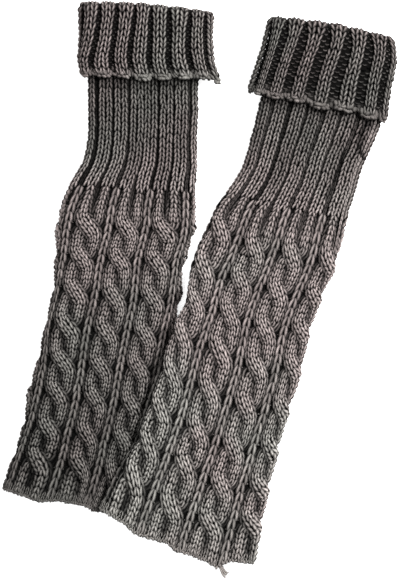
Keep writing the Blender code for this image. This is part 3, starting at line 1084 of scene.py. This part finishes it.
def purl_columns(warmer, yarn, shares, places, rows):
    """Purl columns of the upper rib, sunk between the knit ones and darkened with painted shade."""
    next_share = np.roll(shares, -1)
    next_share[-1] += 1.0
    between = (shares + next_share) / 2
    halfway = (places + np.roll(places, -1)) / 2
    sunk_tone = DRAW.uniform(*SUNK_SHADE[warmer.side], len(shares))
    outer = np.flatnonzero(between < LAST_SEEN_SHARE)[-1]
    sunk_tone[outer], out = PALE_FOLD[warmer.side]
    between[outer] += out / warmer.girth(RIB_END / 2)
    column, row = spread(np.arange(len(shares)), np.arange(-rows, SUNK_RUN_ON))
    many = len(column)
    shift, lag, rise = jitters(many, 0.03, 0.05, 0.12)
    between, halfway = between[column][:, None], halfway[column][:, None]
    fade = np.clip((row + 1.0) / (SUNK_RUN_ON + 1.0), 0.0, 1.0)
    row = row[:, None]
    for leg in SUNK_LEGS:
        across, along, _, side, _ = leg.shape
        at = halfway + (row + along + lag + 0.5) * RIB_PITCH
        lateral = (across + shift) * SUNK_WALE + side * SUNK_SIZE.half_width
        level = SUNK_LEVEL + 1.6 * sunk_tone[column][:, None] - 0.8 * fade[:, None]
        level = level + leg.height(SUNK_SIZE) + rise
        # Painted shade: darker still as the purl column runs on under the cables
        tone = tones(many, 1.0, 0.12) * sunk_tone[column] * (1.0 - 0.4 * fade)
        spot = between + lateral / warmer.girth(at)
        add_rib_legs(warmer, yarn, leg, spot, at, level, tone)


def rib_stitches(warmer, unit, yarn):
    """Knit columns of the upper rib with purl columns sunk between them."""
    shares, places = rib_pairs(unit)
    rows = int((RIB_END - RIB_TOP) / RIB_PITCH)
    knit_columns(warmer, yarn, shares, places, rows)
    purl_columns(warmer, yarn, shares, places, rows)


# The cuff: its rows, its ribs' share of their pitch, which closes up over the fold, and the
# brightness of its knit ribs, with painted light that leaves the right cuff darker, and of the purl bumps
# between them, which is painted shade
CUFF_ROW = 4.2
CUFF_START = 3.0
CUFF_SIZE = Size(1.6, 1.1, 0.2)
CUFF_LEVEL = 0.8
CUFF_BUMP_SIZE = Size(0.9, 0.7, 0.85)
CUFF_BUMP_LEVEL = -2.5
RIB_SHARE = {"left": 0.75, "right": 0.61}
CLOSED_SHARE = 0.93
CLOSING = 13.0
RIB_ROUND = 2.0
CUFF_TONE_AND_LIGHT = {"left": 0.65, "right": 0.52}
BUMP_SHADE = {"left": 0.08, "right": 0.15}


def cuff_share(warmer, rib, down):
    """Share round the cuff of a place counted in ribs, by where the seen gutters lie."""
    rib, down = np.broadcast_arrays(rib, down)
    whole = np.floor(rib - 0.5)
    part = rib - 0.5 - whole
    first = (whole % CUFF_RIBS).astype(int)
    line = np.interp(down, warmer.gutter_downs, np.arange(len(warmer.gutter_downs)))
    upper = np.minimum(line.astype(int), len(warmer.gutter_downs) - 2)
    lower_share = line - upper
    table = warmer.gutters
    above = table[upper, first] * (1.0 - part) + table[upper, first + 1] * part
    below = table[upper + 1, first] * (1.0 - part) + table[upper + 1, first + 1] * part
    return above * (1.0 - lower_share) + below * lower_share + np.floor(whole / CUFF_RIBS)


def rib_share(warmer, down):
    """How much of its pitch a cuff's rib takes up: the ribs close up over the fold."""
    open_share = RIB_SHARE[warmer.side]
    return open_share + (CLOSED_SHARE - open_share) * ease((CLOSING - down) / CLOSING)


def cuff_stitches(warmer, yarn):
    """The flap's wide ribs, knitted towards the fold and on round it, with painted shade at each rib's
    edges and on the purl bumps between ribs.
    """
    start = warmer.cuff.length - CUFF_START
    rows = int((start - ROLL + 0.8 * math.pi * ROLL) / CUFF_ROW)
    rib, wale, row = spread(np.arange(CUFF_RIBS), [-0.5, 0.5], np.arange(rows))
    many = len(rib)
    shift, lag, rise = jitters(many, 0.03, 0.07, 0.16)
    rib, wale, row = rib[:, None], wale[:, None], row[:, None]
    for leg in CUFF_LEGS:
        across, along, _, side, _ = leg.shape
        down = start - (row + along + lag) * CUFF_ROW
        width = rib_share(warmer, down) / 2
        lateral = (wale + across + shift + side * CUFF_SIZE.half_width) * width
        fold = ease((ROLL - down) / ROLL)
        edge = np.abs(lateral) / width
        level = CUFF_LEVEL + leg.height(CUFF_SIZE, 1.0 - 0.6 * fold) + rise
        level = level - RIB_ROUND * edge**3 * (1.0 - 0.4 * fold)
        # Painted shade: each rib darker towards its edges
        yarn.add(leg, warmer.on_cuff(cuff_share(warmer, rib + lateral, down), down, level),
                 tones(many, CUFF_TONE_AND_LIGHT[warmer.side], 0.14) * (1.0 - 0.3 * edge[:, LEG_BACK]**3))
    across, along, _, side, _ = BUMP.shape
    down = start - (row + along + lag + 0.4 + 0.5 * wale) * CUFF_ROW + side * CUFF_BUMP_SIZE.half_width
    lateral = 0.5 + (wale * 0.5 + across * 0.62) * (1.0 - rib_share(warmer, down))
    level = CUFF_BUMP_LEVEL + BUMP.height(CUFF_BUMP_SIZE) + rise
    yarn.add(BUMP, warmer.on_cuff(cuff_share(warmer, rib + lateral, down), down, level),
             tones(many, BUMP_SHADE[warmer.side], 0.4))


# How strongly painted shade darkens the sides of a knot
KNOT_SIDE_SHADE = 0.4

# The chain round each rib's end, outer and inner: reach across in ribs, fall in mm, level,
# knot length and radius, and its number of knots
LOBES = [
    (0.36, 3.2, -0.5, 5.2, 1.6, 7),
    (0.18, 0.8, 0.9, 4.8, 1.7, 4),
]
LOBE_TURN = 105.0
LOBE_BACK = 3.2
BACK_HIGHER = 1.8


def knot_points(turn, length, radius):
    """Across, along and up of beads of one length, each turned its own way in the cloth."""
    _, along, up, side, top = KNOT.shape
    run, off = along * length, side * radius
    return (off * np.cos(turn) - run * np.sin(turn), off * np.sin(turn) + run * np.cos(turn),
            up * radius * 1.2 + (top - 1.0) * radius * 0.8)


def cuff_edge_loops(warmer, yarn):
    """Lumpy bound-off edge of the flap: a chain of knots round each rib's end, darker by painted shade
    where it dips.
    """
    end = warmer.cuff.length
    pitch = stadium_length(warmer.cuff.read(end)[2], CUFF_DEPTH) / CUFF_RIBS
    tone = CUFF_TONE_AND_LIGHT[warmer.side]
    on_back = np.arange(CUFF_RIBS) >= CUFF_RIBS // 2
    drop = DRAW.normal(0.0, 0.7, CUFF_RIBS) - BACK_HIGHER * on_back
    for reach, fall, top_level, length, radius, knots in LOBES:
        rib, knot = spread(np.arange(CUFF_RIBS), np.arange(knots))
        many = len(rib)
        turn = np.radians(LOBE_TURN) * ((knot + 0.5) / knots * 2 - 1)
        turn = turn[:, None] + jitter(many, 0.1)
        lean = turn + np.pi / 2 + jitter(many, 0.4)
        across, along, up = knot_points(lean, length * (1.0 + jitter(many, 0.2)), radius)
        spot = rib[:, None] + reach * np.sin(turn) + across / pitch
        down = end - LOBE_BACK + drop[rib][:, None] + fall * np.cos(turn) + along
        depth = top_level - 1.2 * np.abs(np.sin(turn)) + up + jitter(many, 0.4)
        # Painted shade: knots lower round the lobe's sides are darker
        yarn.add(KNOT, warmer.on_cuff(cuff_share(warmer, spot, down), down, depth),
                 tones(many, 0.8 * tone, 0.16) * (1.0 - 0.35 * np.abs(np.sin(turn[:, 0]))), KNOT_SIDE_SHADE)
    rib, knot = spread(np.arange(CUFF_RIBS), [0, 1])
    many = len(rib)
    across, along, up = knot_points(jitter(many, 0.4), 5.2, 1.5)
    spot = rib[:, None] + 0.5 + across / pitch + jitter(many, 0.02)
    down = end - 2.6 - 3.6 * knot[:, None] + along + jitter(many, 0.4)
    # Painted shade: the knots tucked behind are darker, the lower one most
    yarn.add(KNOT, warmer.on_cuff(cuff_share(warmer, spot, down), down, up - 1.6 - 0.8 * knot[:, None]),
             tones(many, 0.4 * tone, 0.2) * (1.0 - 0.5 * knot), KNOT_SIDE_SHADE)


# The hem: its stitches round the tube, its two rows, and the loops that end them
HEM_WALES = 63
HEM_ROW = 3.0
HEM_START = 7.5
HEM_SIZE = Size(1.3, 0.8, 0.72)
HEM_LEVEL = -1.7
HEM_TONE = 0.68
HEM_LOOP_START = 1.0
HEM_LOOP_LEVEL = -1.6
HEM_LOOP_TONE = 0.54


def hem_stitches(warmer, unit, yarn):
    """Two plain rows under the cables and the loops that end them."""
    end = warmer.tube.length
    count = HEM_WALES
    # The hem takes the tone and painted light of the leg's bottom
    brightness = LEG_TONE_AND_LIGHT[warmer.side][1]
    wale, row = spread(np.arange(count), [0, 1])
    many = len(wale)
    shift, lag, rise = jitters(many, 0.03, 0.08, 0.12)
    first = unit.share[-1, 0]
    middle = first + (wale[:, None] + 0.5) / count
    row = row[:, None]
    for leg in LEGS:
        across, along, _, side, _ = leg.shape
        at = end - HEM_START + (row + along + lag) * HEM_ROW
        share = middle + (across + shift) / count + side * HEM_SIZE.half_width / warmer.girth(at)
        level = HEM_LEVEL + leg.height(HEM_SIZE) + rise
        yarn.add(leg, warmer.on_tube(share, at, level), tones(many, HEM_TONE * brightness, 0.1))
    many = count * 2
    number = np.arange(many)[:, None] / 2
    lag, rise = jitters(many, 0.3, 0.15)
    turn = np.where(np.arange(many) % 2 == 0, 0.5, -0.4)[:, None] + jitter(many, 0.3)
    across, along, up = knot_points(turn, 3.8, 0.95)
    at = end - HEM_LOOP_START + along + lag
    share = first + number / count + across / warmer.girth(at)
    yarn.add(KNOT, warmer.on_tube(share, at, HEM_LOOP_LEVEL + up + rise),
             tones(many, HEM_LOOP_TONE * brightness, 0.12), KNOT_SIDE_SHADE)


# Loose ends of yarn at the hems, in pixels of the photograph

TAIL = [(219.0, 564.5), (221.5, 568.5), (223.2, 572.0), (225.0, 574.6), (227.8, 576.6)]
TAIL_RADIUS = 0.85
TAIL_PLIES = (-1.0, 0.1, 1.1)
TAIL_FRAY = 1.3
TAIL_HEIGHTS = [5.6, 4.4, 2.8, 1.5, 0.9]
TAIL_BEAD = Bead([(0.0, i / 9, 0.0, 0.0 if i in (0, 9) else 1.0) for i in range(10)])
KNOB = (93.6, 507.6)
KNOB_HEIGHT = 4.2
KNOB_RADIUS = 1.7
KNOB_BEADS = 9


def yarn_tail(yarn):
    """Short end of yarn that hangs out at the right hem's notch."""
    _, along, _, side, top = TAIL_BEAD.rows.T
    places = np.array([frame_point(pixel) for pixel in TAIL])
    route = Curve(np.linspace(0.0, 1.0, len(TAIL)), np.column_stack([places, TAIL_HEIGHTS]))
    middle = route.read(along)
    run = route.read(along + 0.01) - route.read(along - 0.01)
    normal = np.stack([-run[:, 1], run[:, 0]], 1) / np.hypot(run[:, 0], run[:, 1])[:, None]
    for ply in TAIL_PLIES:
        points = middle.copy()
        points[:, :2] += normal * (side * TAIL_RADIUS + ply * (0.9 + TAIL_FRAY * along**2))[:, None]
        points[:, 2] = np.maximum(points[:, 2] + top * TAIL_RADIUS, LOWEST)
        yarn.add(TAIL_BEAD, points[None], np.array([0.8]), KNOT_SIDE_SHADE)


def hem_knob(yarn):
    """Small dark knot of yarn at the left hem, where the other leg comes over it."""
    x, y = frame_point(KNOB)
    turn = DRAW.uniform(0.0, math.pi, (KNOB_BEADS, 1))
    across, along, up = knot_points(turn, 5.0, 1.15)
    around = np.linspace(0.0, 2 * math.pi, KNOB_BEADS, endpoint=False)[:, None]
    points = np.stack([x + across + KNOB_RADIUS * np.cos(around),
                       y + along + KNOB_RADIUS * np.sin(around),
                       KNOB_HEIGHT + up + DRAW.normal(0.0, 0.8, (KNOB_BEADS, 1))], -1)
    yarn.add(KNOT, points, tones(KNOB_BEADS, 0.22, 0.2), KNOT_SIDE_SHADE)


# The cloth under the stitches, near black as painted shade in the gaps between them: how deep it
# lies under the outer face, and how it fills the side folds, the ropes and the cuff's fold
CLOTH_SUNK = 3.5
CLOTH_SIDES = {"rib": 120, "leg": 126, "cuff": 128}
CLOTH_STEPS = {"rib": 6.0, "leg": 4.6, "fold": 1.2, "lip": 3.0}
EDGE_FILL = 1.5
EDGE_FILL_REACH = 0.035
ROPE_SUNK = 2.5
ROPE_REACH = 4.6
HIGHEST_CLOTH = -2.0
FLAP_SHORT = 3.2
FOLD_FILL = 2.9
FOLD_TONE = 24.0


def wall(name, place, shares, outside, inside):
    """Closed wall round a tube from its outer and inner lines of (distance, height).

    outside and inside are lists of one distance and a height for each share.
    """
    lines = outside + inside[::-1]
    points = np.vstack([place(shares, np.full(len(shares), at), level) for at, level in lines])
    around, rings = len(shares), len(lines)
    ring, spot = spread(np.arange(rings), np.arange(around))
    beside, following = (spot + 1) % around, (ring + 1) % rings
    faces = np.stack([ring * around + spot, ring * around + beside,
                      following * around + beside, following * around + spot], 1)
    left, right = spot / around, (spot + 1) / around
    low, high = ring / rings, (ring + 1) / rings
    places = np.stack([np.stack([left, low], -1), np.stack([right, low], -1),
                       np.stack([right, high], -1), np.stack([left, high], -1)], 1)
    ones = np.ones(len(points))
    return make_mesh(name, points, faces, places.reshape(-1, 2), SHADOW_DARK_CLOTH_WOOL, tone=ones, crest=ones)


def even_shares(count):
    """Evenly spaced shares round a tube."""
    return np.arange(count) / count


def steps_between(start, end, spacing):
    """Evenly spaced distances from start to end, both included."""
    return np.linspace(start, end, max(int(round((end - start) / spacing)), 1) + 1)


def rib_wall(warmer):
    """Cloth of the upper rib, fuller at its side folds."""
    count = CLOTH_SIDES["rib"]
    shares = even_shares(count)
    steps = steps_between(0.3, RIB_END, CLOTH_STEPS["rib"])
    from_fold = np.abs((shares + 0.25) % 0.5 - 0.25)
    height = -CLOTH_SUNK + EDGE_FILL * np.exp(-(from_fold / EDGE_FILL_REACH)**2)
    outside = [(at, height) for at in steps]
    inside = [(at, np.full(count, -RIB_WALL)) for at in steps]
    return wall(warmer.side + "_rib_cloth", warmer.on_tube, shares, outside, inside)


def cable_relief(unit, shares, along):
    """Height of the cloth that follows the cable strands, for one ring of the leg."""
    best = np.full(len(shares), CABLE_BASE)
    for cable in range(CABLES):
        row = np.interp(along, unit.along[:, cable], unit.rows)
        girth = float(unit.look(unit.girth, cable, np.array(row)))
        middle = float(unit.look(unit.share, cable, np.array(row)))
        off = ((shares - middle + 0.5) % 1.0 - 0.5) * girth
        for which in (0, 1):
            for lateral in np.linspace(-ROPE_REACH, ROPE_REACH, 9):
                share, _, level, _ = strand(unit, cable, which, np.array(row), lateral, 0.0)
                gap = np.abs(off - ((float(share) - middle) * girth))
                best = np.maximum(best, np.where(gap < 1.2, float(level) - ROPE_SUNK, -np.inf))
    return np.minimum(best, HIGHEST_CLOTH)


def leg_wall(warmer, unit):
    """Cloth of the cable-knit leg."""
    count = CLOTH_SIDES["leg"]
    shares = even_shares(count)
    steps = steps_between(RIB_END + 0.2, warmer.tube.length, CLOTH_STEPS["leg"])
    outside = [(at, cable_relief(unit, shares, at)) for at in steps]
    inside = [(at, np.full(count, -LEG_WALL)) for at in steps]
    return wall(warmer.side + "_leg_cloth", warmer.on_tube, shares, outside, inside)


def cuff_wall(warmer):
    """Cloth of the cuff's flap, its fold and the lip inside it, lifted out of its painted shade over the
    ribs at the fold and the rim.
    """
    count = CLOTH_SIDES["cuff"]
    ribs = np.arange(count) * CUFF_RIBS / count

    def place(ribs, down, height):
        return warmer.on_cuff(cuff_share(warmer, ribs, down), down, height)

    flap_end = warmer.cuff.length - FLAP_SHORT
    lip = ROLL - math.pi * ROLL - (FOLD_LIP - ROLL)
    steps = np.concatenate([steps_between(lip, -ROLL * 2.2, CLOTH_STEPS["lip"]),
                            steps_between(-ROLL * 2.1, ROLL, CLOTH_STEPS["fold"]),
                            steps_between(ROLL + 4.0, flap_end, CLOTH_STEPS["rib"])])
    on_rib = ease((np.abs(ribs % 1.0 - 0.5) - 0.04) / 0.2)
    fold = ease((ROLL - steps) / ROLL)
    fill = FOLD_FILL * (0.75 + 0.25 * on_rib)
    outside = [(at, -CLOTH_SUNK + fill * share) for at, share in zip(steps, fold)]
    inside = [(at, np.full(count, -CUFF_WALL + 0.02)) for at in steps]
    piece = wall(warmer.side + "_cuff_cloth", place, ribs, outside, inside)
    # FOLD_TONE lifts the cloth's painted shade to the wool's tone over the ribs at the fold and along the
    # flap's rim
    rim = ease((steps - flap_end + 6.0) / 6.0)
    lines = FOLD_TONE * np.concatenate([np.maximum(fold, rim), rim[::-1]])
    tone = 1.0 + lines[:, None] * on_rib[None, :]
    piece.data.attributes["tone"].data.foreach_set("value", tone.astype(np.float32).ravel())
    return piece


def finish_piece(piece, slot, warmer, *nodes):
    """Puts a piece on the root body and hides the CAD solids it stands for."""
    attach(piece, "root")
    if nodes:
        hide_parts(*(warmer.side + node for node in nodes))


def middle_girth(warmer, start, end):
    """Mean distance round the tube between two distances along it."""
    return float(np.mean(warmer.girth(np.linspace(start, end, 20))))


def finish_yarn(yarn, warmer, name, slot):
    """One piece made of the yarn that was gathered for it."""
    piece = yarn.build(warmer.side + name)
    finish_piece(piece, slot, warmer)
    return piece


# Which cables each piece of cable knitting holds
CABLE_GROUPS = {"a": [0, 1], "b": [2, 3], "c": [4, 5, 6]}

# How much less it is round the middle of the wall than round the tube, and where on the
# flap that is measured
CUFF_ALLOWANCE = 24.0
TUBE_ALLOWANCE = 20.0
CUFF_MEASURED = 30.0


def knit(warmer, end_of_yarn):
    """All pieces of one leg warmer; end_of_yarn adds what hangs or is knotted at its hem."""
    unit = Unit(warmer)
    for letter, cables in CABLE_GROUPS.items():
        yarn = Yarn()
        cable_stitches(warmer, unit, yarn, cables)
        slip_stitches(warmer, unit, yarn, cables)
        gutter_bumps(warmer, unit, yarn, cables)
        finish_yarn(yarn, warmer, "_cable_stitches_" + letter, "cable_knit")
    yarn = Yarn()
    rib_stitches(warmer, unit, yarn)
    rib_pieces = [finish_yarn(yarn, warmer, "_rib_stitches", "rib_knit")]
    yarn = Yarn()
    cuff_stitches(warmer, yarn)
    cuff_pieces = [finish_yarn(yarn, warmer, "_cuff_stitches", "cuff_knit")]
    yarn = Yarn()
    cuff_edge_loops(warmer, yarn)
    cuff_pieces.append(finish_yarn(yarn, warmer, "_cuff_edge_loops", "cuff_bind_off"))
    yarn = Yarn()
    hem_stitches(warmer, unit, yarn)
    end_of_yarn(yarn)
    finish_yarn(yarn, warmer, "_hem_stitches", "cast_on_hem")

    cuff = cuff_wall(warmer)
    finish_piece(cuff, "cuff_knit", warmer, "_cuff", "_cuff_edge")
    cuff_round = stadium_length(warmer.cuff.read(CUFF_MEASURED)[2], CUFF_DEPTH) - CUFF_ALLOWANCE
    rib = rib_wall(warmer)
    finish_piece(rib, "rib_knit", warmer, "_rib")
    rib_round = middle_girth(warmer, 0.0, RIB_END) - TUBE_ALLOWANCE
    leg = leg_wall(warmer, unit)
    finish_piece(leg, "cable_knit", warmer, "_leg", "_hem")
    end = warmer.tube.length
    leg_round = middle_girth(warmer, RIB_END, end) - TUBE_ALLOWANCE


# Each hem's uneven line, in pixels of the photograph
LEFT_HEM_LINE = [(2, 489), (25, 497), (40, 502), (58, 501), (85, 506), (93, 510)]
RIGHT_HEM_LINE = [
    (100, 508), (112.6, 515), (125, 523), (135, 533), (150.5, 538.6), (167.4, 543.5),
    (174.4, 551), (190, 555), (205, 561), (216.5, 568), (230.5, 561), (243, 563), (255, 564),
]

left = Warmer("left", LEFT_CUFF, LEFT_TUBE, None, LEFT_CROSSINGS, LEFT_GUTTERS, LEFT_HEM_LINE)
right = Warmer("right", RIGHT_CUFF, RIGHT_TUBE, LeftEdgeLap(sections(LEFT_TUBE)),
               RIGHT_CROSSINGS, RIGHT_GUTTERS, RIGHT_HEM_LINE)
knit(left, hem_knob)
knit(right, yarn_tail)


# The stage, in metres: a pale floor that glows a little, a white surround, and two square
# lamps, each with its place, size and power
FLOOR_SIZE = 6.0
FLOOR_HEIGHT = -0.0004
FLOOR_PAPER = {
    "Base Color": (0.93, 0.93, 0.93, 1.0),
    "Roughness": 0.9,
    "Specular IOR Level": 0.1,
    "Emission Color": (1.0, 1.0, 1.0, 1.0),
    "Emission Strength": 0.7,
}
SURROUND = {"Color": (1.0, 1.0, 1.0, 1.0), "Strength": 0.48}
LAMPS = {
    "key": ((1.0, 0.8, 1.35), 0.6, 92.0),
    "fill": ((-0.5, -0.6, 2.1), 1.4, 12.0),
}


def make_lamp(name, place, size, power):
    """Square lamp that shines at the middle of the frame."""
    data = bpy.data.lights.new(name, "AREA")
    data.shape = "SQUARE"
    data.size = size
    data.energy = power
    lamp = bpy.data.objects.new(name, data)
    lamp.location = place
    lamp.rotation_euler = (-lamp.location).to_track_quat("-Z", "Y").to_euler()
    bpy.context.collection.objects.link(lamp)


def make_stage():
    """Plain pale floor under soft studio light."""
    bpy.ops.mesh.primitive_plane_add(size=FLOOR_SIZE, location=(0.0, 0.0, FLOOR_HEIGHT))
    floor = bpy.context.object
    floor.name = "floor"
    paper = bpy.data.materials.new("paper")
    paper.use_nodes = True
    set_inputs(paper.node_tree.nodes["Principled BSDF"], FLOOR_PAPER)
    floor.data.materials.append(paper)
    world = bpy.data.worlds.new("studio")
    world.use_nodes = True
    set_inputs(world.node_tree.nodes["Background"], SURROUND)
    bpy.context.scene.world = world
    for name, (place, size, power) in LAMPS.items():
        make_lamp(name, place, size, power)
    bpy.context.scene.view_settings.view_transform = "Standard"


make_stage()
